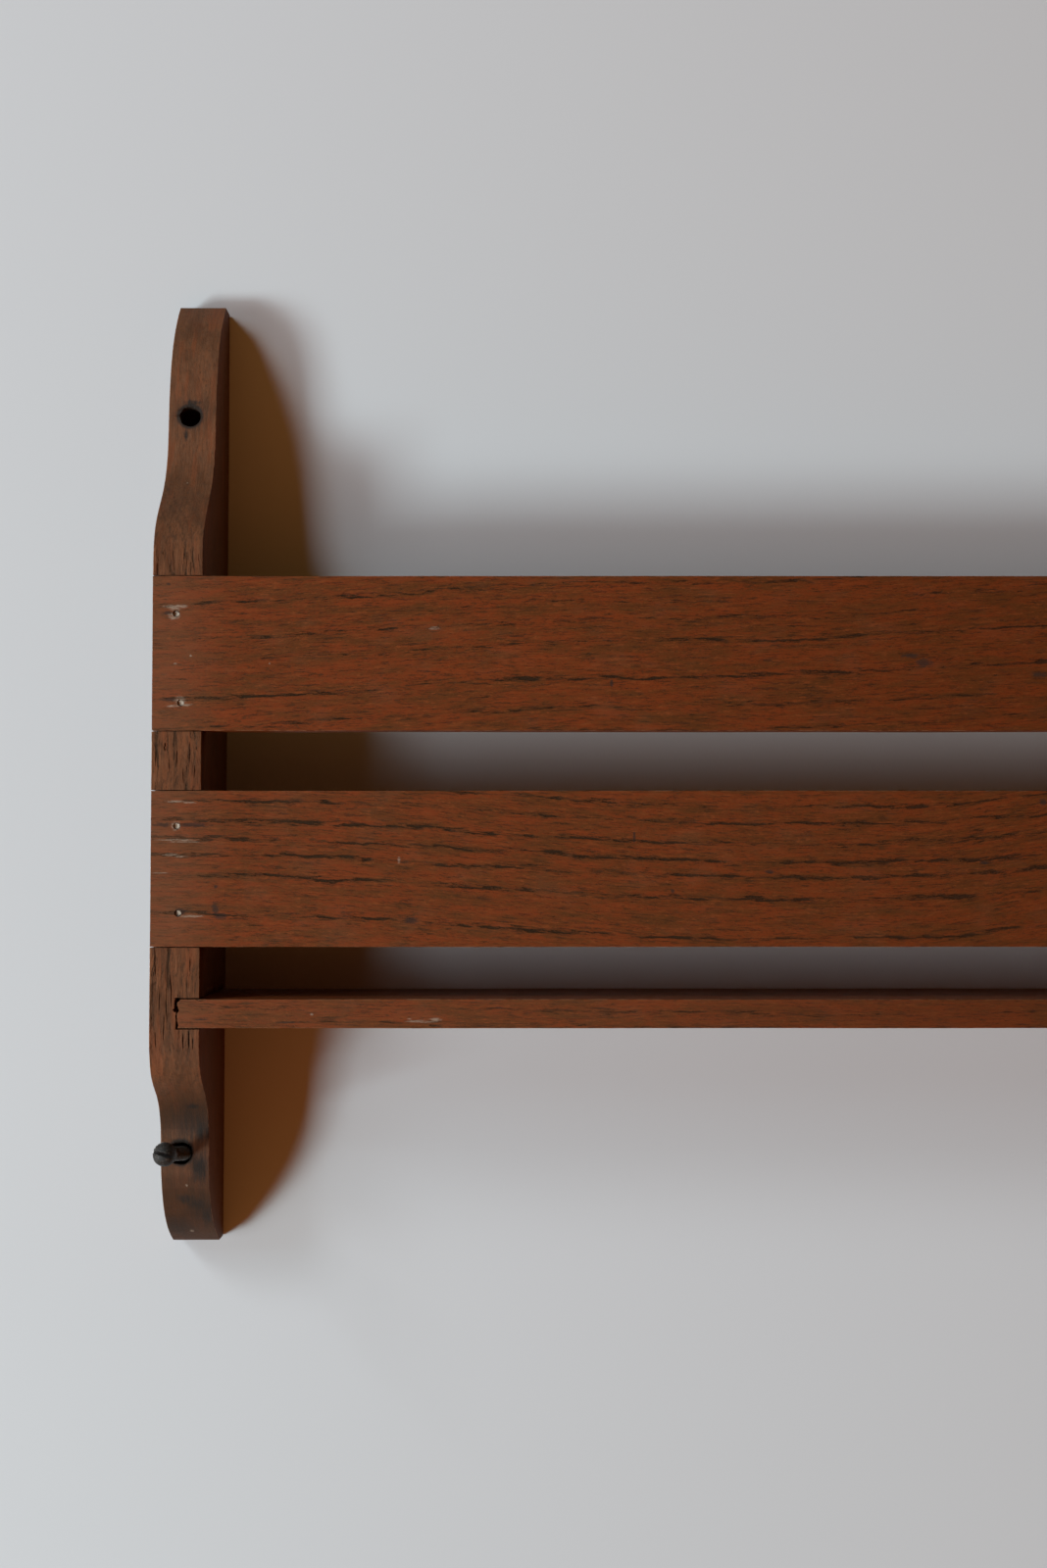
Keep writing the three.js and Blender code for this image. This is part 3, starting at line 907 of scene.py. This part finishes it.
class RACK_OT_side_boards(bpy.types.Operator):
    """Shapes the two side boards, with worn arrises, chips and cracks in their front edges"""

    bl_idname = "rack.side_boards"
    bl_label = "Side boards"

    def execute(self, context):
        for side in SIDES:
            self.make_board(side)
        return {"FINISHED"}

    def make_board(self, side):
        node = f"{side}_side"
        piece = copy_of_node(node, f"{side}_side_board")
        low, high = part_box(node)
        bevel_edges(piece, lambda edge: self.is_arris(edge, low, high), sizes().arris)
        for axis in (2, 1, 0):
            slice_along(piece, axis, sizes().slice_length)
        make_uneven(piece, sizes().unevenness, SIDE_WAVES * MM)
        carve(piece, self.cracks(side, low, high) + self.worn_bores(side, low, high))
        carve(piece, self.broken_housing(side, low, high))
        smooth(piece)
        dress(piece, "rack", side_wood(side), "side_wood", node)

    @staticmethod
    def is_arris(edge, low, high):
        """True for an edge of the board's outline, but not for one of a hole, a notch or the housing."""
        ends = [v.co for v in edge.verts]
        if not any(all(abs(p.x - x) < CLOSE for p in ends) for x in (low.x, high.x)):
            return False
        rims = [f for f in edge.link_faces if abs(f.normal.x) < 0.1]
        if len(rims) != 1:
            return False
        rim = rims[0]
        width = max(v.co.x for v in rim.verts) - min(v.co.x for v in rim.verts)
        centre = rim.calc_center_median()
        shelf_low, shelf_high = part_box("shelf")
        in_housing = shelf_low.z - MM < centre.z < shelf_high.z + MM and abs(rim.normal.z) > 0.5
        in_notch = any(
            slat_low.z - MM < centre.z < slat_high.z + MM and centre.y < slat_high.y + MM
            for slat_low, slat_high in map(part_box, SLATS)
        )
        return width > 8 * MM and not in_housing and not in_notch

    def cracks(self, side, low, high):
        hand, outer = (1, low.x) if side == "left" else (-1, high.x)
        shift = 0 if side == "left" else 2.0
        cutters = []
        for inset, height, half_length, half_width, depth in SIDE_CRACKS:
            place = Vector((outer + hand * inset * MM, low.y, (height + shift - HALF_HEIGHT) * MM))
            half_sizes = (half_width * MM, depth * MM, half_length * MM)
            turn = 0.05 * math.sin(height * 1.7)
            cutters.append(lens(place, half_sizes, turn, 0.45))
        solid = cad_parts[f"{side}_side"].data
        for height, half_length, depth in ARRIS_CHIPS:
            up = (height + shift - HALF_HEIGHT) * MM
            front = min(v.co.y for v in solid.vertices if abs(v.co.z - up) < 9 * MM)
            place = Vector((outer, front, up))
            cutters.append(lens(place, (depth * MM * 0.8, depth * MM, half_length * MM), 0.2, 0.3))
        return cutters

    def worn_bores(self, side, low, high):
        """The screws have widened the bores' mouths."""
        hand, outer = (1, low.x) if side == "left" else (-1, high.x)
        cutters = []
        for (inset, height, depth, radius), axis in zip(BORES, (Vector((0, -1, 0)), Vector(SCREW_AXIS))):
            place = Vector((outer + hand * inset * MM, -depth * MM, (height - HALF_HEIGHT) * MM))
            cutters.append(mouth(place, axis, (BORE_RADIUS - 0.1) * MM, radius * MM, BORE_MOUTH_DEPTH * MM))
        return cutters

    def broken_housing(self, side, low, high):
        """The housing's end is torn out, so that a dark gap shows beside the shelf's upper half."""
        shelf_low, shelf_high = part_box("shelf")
        hand, end = (1, shelf_low.x) if side == "left" else (-1, shelf_high.x)
        cutters = []
        for offset, height, half_width, half_height, depth in HOUSING_TEARS:
            up = shelf_low.z + (shelf_high.z - shelf_low.z) * height
            place = Vector((end + hand * offset * MM, low.y, up))
            cutters.append(lens(place, (half_width * MM, depth * MM, half_height * MM), 0.05, 0.25))
        return cutters


class RACK_OT_slats(bpy.types.Operator):
    """Planes the two slats and punches their nail holes"""

    bl_idname = "rack.slats"
    bl_label = "Slats"

    def execute(self, context):
        for slat in SLATS:
            piece = planed_board(slat, f"{slat}_board", (0, 2), sizes().arris * 0.7, SLAT_SWELLING * MM)
            radius = sizes().hole_radius
            cutters = [
                mouth(place + out * NAIL_SET * MM, out, radius * 0.92, radius, NAIL_MOUTH_DEPTH * MM)
                for _, place, out in nail_places(slat)
            ]
            carve(piece, cutters)
            smooth(piece)
            dress(piece, "rack", face_board_wood(slat), "slat_wood", slat)
        return {"FINISHED"}


class RACK_OT_shelf(bpy.types.Operator):
    """Planes the shelf, with broken corners at its ends"""

    bl_idname = "rack.shelf"
    bl_label = "Shelf"

    def execute(self, context):
        piece = planed_board("shelf", "shelf_board", (0, 1), sizes().arris * 0.8)
        low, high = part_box("shelf")
        cutters = []
        for end, hand in ((low.x, 1), (high.x, -1)):
            for inset, up, half_width, half_height in SHELF_CHIPS:
                place = Vector((end + hand * inset * MM, low.y, low.z + (high.z - low.z) * up))
                cutters.append(lens(place, (half_width * MM, 4 * MM, half_height * MM), 0.15, 0.2))
        carve(piece, cutters)
        smooth(piece)
        dress(piece, "rack", face_board_wood("shelf"), "shelf_wood", "shelf")
        return {"FINISHED"}


def planed_board(node, name, axes, arris, swelling=0.0):
    """A straight board in a solid's place. The swelling closes most of the gap above and below it."""
    low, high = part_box(node)
    low.z -= swelling
    high.z += swelling
    piece = straight_board(name, low, high)
    bevel_box(piece, low, high, arris)
    for axis in axes:
        slice_along(piece, axis, sizes().slice_length)
    make_uneven(piece, sizes().unevenness, BOARD_WAVES * MM)
    return piece


class RACK_OT_nails(bpy.types.Operator):
    """Makes one wire nail with a hammered head, and sets a copy in each hole"""

    bl_idname = "rack.nails"
    bl_label = "Nails"

    def execute(self, context):
        steel = old_steel("nail_steel", colours().nail, colours().nail_rust, 2.0, NAIL_FILLER)
        pattern = self.make_nail()
        for holder in (*SLATS, *(f"{side}_side" for side in SIDES)):
            for i, (node, place, out) in enumerate(nail_places(holder)):
                piece = copy_of_pattern(pattern, f"{node}_turned")
                spin = Euler((0, 0, i * 1.9)).to_quaternion()
                piece.rotation_euler = (out.to_track_quat("Z", "Y") @ spin).to_euler()
                piece.location = place
                settle(piece)
                dress(piece, "rack", steel, "nail_steel", node)
        remove(pattern)
        return {"FINISHED"}

    @staticmethod
    def make_nail():
        """A nail along -Z with the top of its hammered head at the origin."""
        low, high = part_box("left_top_slat_upper_nail")
        point, radius = (low.y - high.y) / MM, (high.x - low.x) / 2
        rings = (
            (-0.17, 0.25), (-0.12, 0.60), (-0.04, 0.88), (0.0, 1.08), (-0.06, 1.24), (-0.25, 1.30),
            (-0.80, 1.28), (-1.0, 0.92), (-1.6, 0.90), (-10, 0.90), (-20, 0.90),
            (3 + point, 0.90), (0.9 + point, 0.42), (point, 0.06),
        )
        nail = turned("nail", [(height * MM, across / 1.3 * radius) for height, across in rings], 24)
        with editing(nail, "VERT") as mesh:
            for vertex in mesh.verts:
                if vertex.co.z > -0.3 * MM:
                    dent = 1 + math.sin(vertex.co.x * 2900 + 1) * math.cos(vertex.co.y * 2300)
                    vertex.co.z -= 0.05 * MM * dent
        smooth(nail, 40)
        return nail


class RACK_OT_wall_screws(bpy.types.Operator):
    """Turns the old slotted round-head wood screws, with a cut thread"""

    bl_idname = "rack.wall_screws"
    bl_label = "Wall screws"

    def execute(self, context):
        steel = old_steel("screw_steel", colours().screw, colours().screw_rust, 6.0)
        pattern = self.make_screw()
        for side in SIDES:
            node = f"{side}_wall_screw"
            top, axis = self.place_of(node)
            piece = copy_of_pattern(pattern, f"{node}_turned")
            spin = Euler((0, 0, math.radians(-16 if side == "left" else 63))).to_quaternion()
            level = axis.to_track_quat("Z", "Y")
            across = level.inverted() @ Vector((1, 0, 0))
            turn = Euler((0, 0, math.atan2(across.y, across.x))).to_quaternion()
            piece.rotation_euler = (level @ turn @ spin).to_euler()
            piece.location = top
            settle(piece)
            dress(piece, node, steel, "screw_steel", node)
        remove(pattern)
        return {"FINISHED"}

    @staticmethod
    def place_of(node):
        """The middle of the top of a screw's head, and the way that it faces."""
        corners = [v.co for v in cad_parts[node].data.vertices]
        axis = Vector(SCREW_AXIS).normalized()
        reach = max(p.dot(axis) for p in corners)
        flat = [p - axis * p.dot(axis) for p in corners]
        middle = Vector([(min(p[i] for p in flat) + max(p[i] for p in flat)) / 2 for i in range(3)])
        middle -= axis * middle.dot(axis)
        return middle + axis * reach, axis

    @classmethod
    def make_screw(cls):
        """A screw along -Z with the top of its head at the origin."""
        rings = [(-0.02, 0.5)]
        for degrees in (70, 56, 42, 28, 15, 5, 0):
            angle = math.radians(degrees)
            rings.append((SCREW_HEAD_HEIGHT * (math.sin(angle) - 1), SCREW_HEAD_RADIUS * math.cos(angle)))
        under = -SCREW_HEAD_HEIGHT
        rings += [(under - 0.12, SCREW_HEAD_RADIUS - 0.15), (under - 0.15, SCREW_SHANK_RADIUS + 0.35)]
        rings += [(under - 0.5, SCREW_SHANK_RADIUS)]
        rings += [(under - along, SCREW_SHANK_RADIUS) for along in (4, 8, SCREW_SHANK_LENGTH)]
        rings += [(under - SCREW_SHANK_LENGTH - 1.5, SCREW_ROOT_RADIUS)]
        rings += [(under - along, SCREW_ROOT_RADIUS) for along in (20, 30, 40, 50, SCREW_TAPER_START)]
        rings += [(under - SCREW_TAPER_START - 5, SCREW_ROOT_RADIUS * 0.55), (under - SCREW_LENGTH, 0.08)]
        screw = turned("screw", [(height * MM, radius * MM) for height, radius in rings], 40)
        bpy.ops.object.select_all(action="DESELECT")
        bpy.ops.mesh.primitive_cube_add(size=1, location=(0, 0, 0))
        slot = bpy.context.active_object
        slot.scale = (SCREW_HEAD_RADIUS * 3 * MM, SCREW_SLOT_WIDTH * MM, SCREW_SLOT_DEPTH * 2 * MM)
        settle(slot)
        carve(screw, [slot])
        bevel_edges(screw, cls.on_slot, 0.14 * MM, 2)
        with editing(screw) as mesh:
            for vertex in mesh.verts:
                if vertex.co.z > -SCREW_HEAD_HEIGHT * MM:
                    vertex.co.xy *= 1 - 0.02 * (1 + math.sin(vertex.co.x * 1900 + vertex.co.y * 2600)) / 2
        thread = cls.make_thread(under)
        bpy.ops.object.select_all(action="DESELECT")
        thread.select_set(True)
        screw.select_set(True)
        bpy.context.view_layer.objects.active = screw
        bpy.ops.object.join()
        smooth(screw, 38)
        return screw

    @staticmethod
    def on_slot(edge):
        """True for the slot's two long upper edges on the dome."""
        ends = [v.co for v in edge.verts]
        on_wall = all(abs(abs(p.y) - SCREW_SLOT_WIDTH / 2 * MM) < CLOSE for p in ends)
        return on_wall and all(p.z > (-SCREW_SLOT_DEPTH + 0.05) * MM for p in ends)

    @staticmethod
    def make_thread(under):
        """A winding ridge along the root, which dies out at both ends."""
        bpy.ops.object.select_all(action="DESELECT")
        bpy.ops.mesh.primitive_plane_add(size=1, location=(0, 0, 0), rotation=(QUARTER_TURN, 0, 0))
        ridge = bpy.context.active_object
        settle(ridge)
        pitch = sizes().thread_pitch
        first = (under - SCREW_LENGTH + 2.5) * MM
        turns = int((SCREW_LENGTH - SCREW_SHANK_LENGTH - 4) * MM / pitch)
        with editing(ridge, "VERT") as mesh:
            for vertex in mesh.verts:
                outer = vertex.co.x > 0
                half = (0.07 if outer else 0.55) * MM
                vertex.co.z = first + math.copysign(half, vertex.co.z)
                vertex.co.x = (SCREW_SHANK_RADIUS if outer else SCREW_ROOT_RADIUS - 0.25) * MM
        with editing(ridge, "FACE"):
            bpy.ops.mesh.select_all(action="SELECT")
            bpy.ops.mesh.delete(type="ONLY_FACE")
        apply_modifier(
            ridge, "SCREW", axis="Z", angle=2 * math.pi, screw_offset=pitch, iterations=turns, steps=24,
            render_steps=24, use_merge_vertices=False,
        )
        last = first + turns * pitch
        taper = (under - SCREW_TAPER_START) * MM
        tip = (under - SCREW_LENGTH) * MM
        with editing(ridge, "VERT") as mesh:
            for vertex in mesh.verts:
                root = SCREW_ROOT_RADIUS * MM
                if vertex.co.z < taper:
                    root *= max(0.05, (vertex.co.z - tip) / (taper - tip)) ** 0.8
                out = vertex.co.xy.length
                height = out - SCREW_ROOT_RADIUS * MM
                rise = max(0, vertex.co.z - first + 0.6 * MM) / (4 * MM)
                runout = max(0, last - vertex.co.z) / (1.5 * MM)
                if height > 0:
                    height *= min(1, rise, runout)
                else:
                    height *= root / (SCREW_ROOT_RADIUS * MM)
                vertex.co.xy *= (root + height) / out
            bmesh.update_edit_mesh(ridge.data)
            bpy.ops.mesh.select_all(action="DESELECT")
            bpy.ops.mesh.select_non_manifold()
            bpy.ops.mesh.edge_face_add()
            bpy.ops.mesh.select_all(action="SELECT")
            bpy.ops.mesh.normals_make_consistent(inside=False)
        return ridge


# Stage

def wall_material():
    """Plain pale paint that a view and a lamp from behind pass, so that the rack's back can be seen."""
    graph = Graph("wall_paint")
    paint = graph.node("ShaderNodeBsdfDiffuse", {}, {"Color": opaque(colours().wall)})
    clear = graph.node("ShaderNodeBsdfTransparent")
    behind = graph.node("ShaderNodeNewGeometry").outputs["Backfacing"]
    path = graph.node("ShaderNodeLightPath").outputs
    direct = Value(graph, path["Is Shadow Ray"]) * Value(graph, path["Ray Depth"]).math("LESS_THAN", 1.5)
    passes = Value(graph, behind).larger(direct)
    both = graph.node("ShaderNodeMixShader", {}, {0: passes, 1: paint.outputs[0], 2: clear.outputs[0]})
    graph.feed(graph.output.inputs[0], both.outputs[0])
    return graph.material


class RACK_OT_stage(bpy.types.Operator):
    """Sets up the camera, the plain wall and floor, and the soft lamps"""

    bl_idname = "rack.stage"
    bl_label = "Stage"

    def execute(self, context):
        scene = context.scene
        self.add_camera(scene)
        self.add_surroundings(scene)
        self.add_lamps(scene)
        self.add_room_light(scene)
        scene.view_settings.view_transform = "Standard"
        return {"FINISHED"}

    def add_camera(self, scene):
        stage = scene.rack_stage
        low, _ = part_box("left_side")
        data = bpy.data.cameras.new("camera")
        data.sensor_width = LONG_SENSOR
        data.lens = LONG_SENSOR * FOCAL_PIXELS / PHOTO_HEIGHT
        camera = bpy.data.objects.new("camera", data)
        camera.location = (low.x + stage.camera_in, -stage.camera_out, low.z + stage.camera_up)
        camera.rotation_euler = (QUARTER_TURN + stage.camera_tilt, 0, 0)
        scene.collection.objects.link(camera)
        scene.camera = camera

    def add_surroundings(self, scene):
        bpy.ops.object.select_all(action="DESELECT")
        bpy.ops.mesh.primitive_plane_add(
            size=STAGE_SPAN, location=(0, WALL_GAP * MM, 0), rotation=(QUARTER_TURN, 0, 0)
        )
        wall = bpy.context.active_object
        wall.name = "wall"
        wall.data.materials.append(wall_material())
        bpy.ops.mesh.primitive_plane_add(size=STAGE_SPAN, location=(0, 0, FLOOR_HEIGHT))
        floor = bpy.context.active_object
        floor.name = "floor"
        graph = Graph("floor_paint")
        paint = opaque(colours().wall)
        graph.finish(base_color=paint, roughness=0.9, emission_color=paint, emission_strength=FLOOR_GLOW)
        floor.data.materials.append(graph.material)
        floor.visible_diffuse = floor.visible_glossy = False

    def add_lamps(self, scene):
        turn = math.radians(KEY_AZIMUTH)
        for name, (height, tall, share, colour) in KEY_PANES.items():
            aim = Vector((KEY_AIM_X, 0, height))
            place = aim - KEY_DISTANCE * Vector((math.sin(turn), math.cos(turn), 0))
            self.add_lamp(
                name, "AREA", aim - place, place, shape="RECTANGLE", size=KEY_WIDTH, size_y=tall,
                energy=scene.rack_stage.key_watts * share, color=colour,
            )
        self.add_lamp(
            "back_sun", "SUN", Vector(BACK_SUN_DIRECTION), energy=BACK_SUN_STRENGTH,
            angle=math.radians(BACK_SUN_ANGLE),
        )

    @staticmethod
    def add_lamp(name, kind, direction, place=(0, 0, 0), **settings):
        data = bpy.data.lights.new(name, kind)
        for key, value in settings.items():
            setattr(data, key, value)
        lamp = bpy.data.objects.new(name, data)
        lamp.location = place
        lamp.rotation_euler = direction.to_track_quat("-Z", "Y").to_euler()
        bpy.context.scene.collection.objects.link(lamp)

    def add_room_light(self, scene):
        """The camera sees plain pale surroundings, while the fill's colours light the rack and the wall."""
        world = bpy.data.worlds.new("studio")
        world.use_nodes = True
        graph = Nodes(world.node_tree)
        height = graph.split(graph.node("ShaderNodeTexCoord").outputs["Generated"])[2]
        upward = graph.node("ShaderNodeMapRange", inputs={"Value": height, "From Min": -1}).outputs[0]
        colour = graph.ramp(upward, FILL_COLOURS, (FILL_COLOURS[0][1], FILL_COLOURS[-1][1]))
        fill = graph.node("ShaderNodeBackground", inputs={"Color": colour})
        shown = graph.node("ShaderNodeBackground", inputs={"Color": opaque(colours().wall)})
        seen = graph.node("ShaderNodeLightPath").outputs["Is Camera Ray"]
        both = graph.node("ShaderNodeMixShader", inputs={0: seen, 1: fill.outputs[0], 2: shown.outputs[0]})
        graph.feed(graph.tree.nodes["World Output"].inputs[0], both.outputs[0])
        graph.tree.nodes.remove(graph.tree.nodes["Background"])
        scene.world = world


PIECES = (
    RACK_OT_side_boards, RACK_OT_slats, RACK_OT_shelf, RACK_OT_nails, RACK_OT_wall_screws, RACK_OT_stage,
)


class RACK_PT_panel(bpy.types.Panel):
    """Lists the rack's pieces and their settings"""

    bl_idname = "RACK_PT_panel"
    bl_label = "Slatted rack"
    bl_space_type = "VIEW_3D"
    bl_region_type = "UI"
    bl_category = "Rack"

    def draw(self, context):
        for name in PROPERTY_GROUPS:
            group = getattr(context.scene, name)
            for key in group.__annotations__:
                self.layout.prop(group, key)
        for operator in PIECES:
            self.layout.operator(operator.bl_idname)


CLASSES = (*PROPERTY_GROUPS.values(), *PIECES, RACK_PT_panel)


def register():
    for cls in CLASSES:
        bpy.utils.register_class(cls)
    for name, group in PROPERTY_GROUPS.items():
        setattr(bpy.types.Scene, name, bpy.props.PointerProperty(type=group))


def unregister():
    for name in PROPERTY_GROUPS:
        delattr(bpy.types.Scene, name)
    for cls in reversed(CLASSES):
        bpy.utils.unregister_class(cls)


def main():
    register()
    bpy.ops.rack.side_boards()
    bpy.ops.rack.slats()
    bpy.ops.rack.shelf()
    bpy.ops.rack.nails()
    bpy.ops.rack.wall_screws()
    bpy.ops.rack.stage()


if __name__ == "__main__":
    main()
